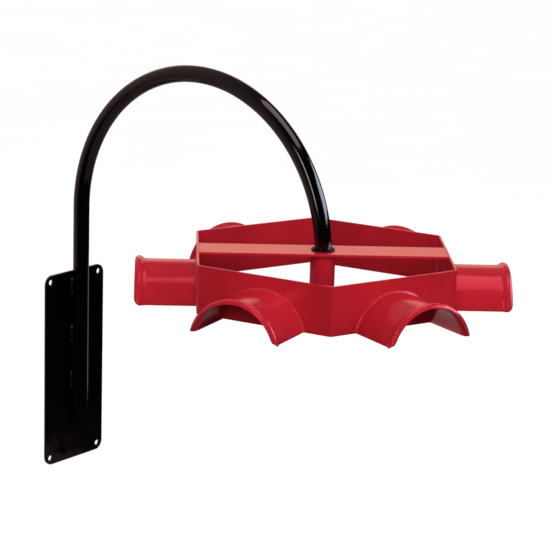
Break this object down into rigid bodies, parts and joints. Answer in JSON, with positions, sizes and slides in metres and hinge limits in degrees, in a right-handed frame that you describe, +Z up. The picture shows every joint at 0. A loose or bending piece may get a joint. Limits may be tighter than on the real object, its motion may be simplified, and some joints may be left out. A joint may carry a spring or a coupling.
{
  "type": "revolving wall storage rack",
  "caption": "Wall plate with an arched pipe arm that carries a turning hexagonal band with rolled saddles for hanging tyre tubes, belts or hoses.",
  "frame": {"origin": "centre of the wall plate's back face, midway between its four bolt holes", "axes": "+X out of the wall, +Y along the wall, +Z up; the arch lies in the XZ plane"},
  "size_m": [1.03, 0.7392, 0.8978],
  "materials": {
    "black_paint": "gloss",
    "red_paint": "gloss",
    "zinc_steel": "zinc plated",
    "black_plastic": "matte"
  },
  "bodies": {
    "arm": {"wall_plate": "black_paint", "arm_tube": "black_paint", "tube_end_cap": "black_plastic", "plate_weld_beads": "black_paint", "spindle_plug": "zinc_steel", "retaining_washer": "zinc_steel", "lock_washer": "zinc_steel", "hanger_bolt": "zinc_steel"},
    "carousel": {"hex_band": "red_paint", "band_seam_weld": "red_paint", "crossbar": "red_paint", "crossbar_welds": "red_paint", "hub_sleeve": "red_paint", "hub_weld": "red_paint", "upper_bush": "black_plastic", "lower_bush": "black_plastic", "thrust_washer": "zinc_steel", "saddle_1": "red_paint", "saddle_2": "red_paint", "saddle_3": "red_paint", "saddle_4": "red_paint", "saddle_5": "red_paint", "saddle_6": "red_paint", "saddle_weld_1": "red_paint", "saddle_weld_2": "red_paint", "saddle_weld_3": "red_paint", "saddle_weld_4": "red_paint", "saddle_weld_5": "red_paint", "saddle_weld_6": "red_paint"}
  },
  "joints": [
    {"name": "carousel_spin", "type": "hinge", "parent": "arm", "child": "carousel", "pos_m": [0.66235, 0, 0.3705], "axis": [0, 0, 1], "continuous": true}
  ]
}
